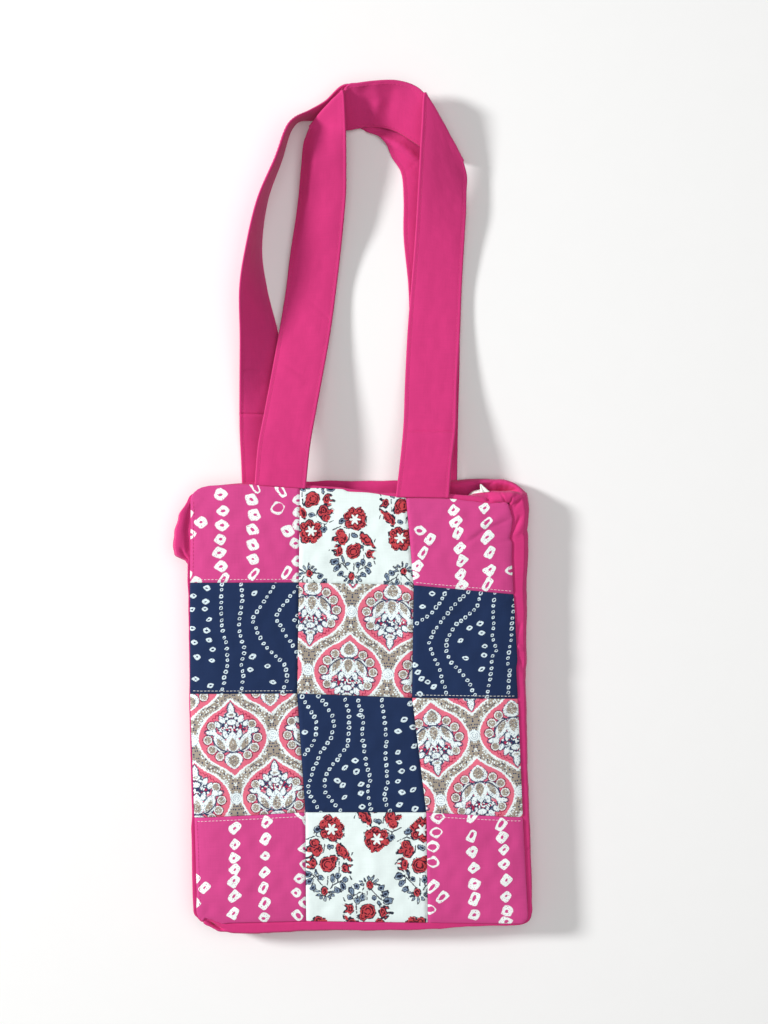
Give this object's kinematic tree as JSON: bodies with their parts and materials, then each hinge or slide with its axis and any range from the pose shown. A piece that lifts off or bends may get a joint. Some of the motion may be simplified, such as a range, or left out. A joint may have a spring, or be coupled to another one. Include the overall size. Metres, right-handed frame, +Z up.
{
  "type": "patchwork handbag",
  "caption": "Soft cotton shoulder bag lying flat: printed patchwork front, plain magenta back and gusset, zip mouth and wide flat straps.",
  "frame": {"origin": "centre of the back panel's outer face, which the bag lies on", "axes": "+X to the right across the bag, +Y from the base to the mouth and straps, +Z up from the surface to the patchwork front"},
  "size_m": [0.3317, 0.7806, 0.0452],
  "materials": {
    "pink_dots": "matte tie-dyed cotton, white dots on pink",
    "cream_floral": "matte block-printed cotton, red and navy sprays on cream",
    "navy_rings": "matte tie-dyed cotton, white rings on navy",
    "ogee_lattice": "matte printed cotton, coral medallions in a taupe and white lattice",
    "magenta_cotton": "matte plain-weave cotton",
    "zip_tape": "white woven zip tape and coil"
  },
  "bodies": {
    "root": {"patch_row1_left": "pink_dots", "patch_row1_middle": "cream_floral", "patch_row1_right": "pink_dots", "patch_row2_left": "navy_rings", "patch_row2_middle": "ogee_lattice", "patch_row2_right": "navy_rings", "patch_row3_left": "ogee_lattice", "patch_row3_middle": "navy_rings", "patch_row3_right": "ogee_lattice", "patch_row4_left": "pink_dots", "patch_row4_middle": "cream_floral", "patch_row4_right": "pink_dots", "back_panel": "magenta_cotton", "gusset_left": "magenta_cotton", "gusset_bottom": "magenta_cotton", "gusset_right": "magenta_cotton", "top_strip_front": "magenta_cotton", "top_strip_back": "magenta_cotton", "strap_front": "magenta_cotton", "strap_back": "magenta_cotton", "zip_front": "zip_tape", "zip_back": "zip_tape", "zip_tape_end": "zip_tape"}
  },
  "joints": []
}
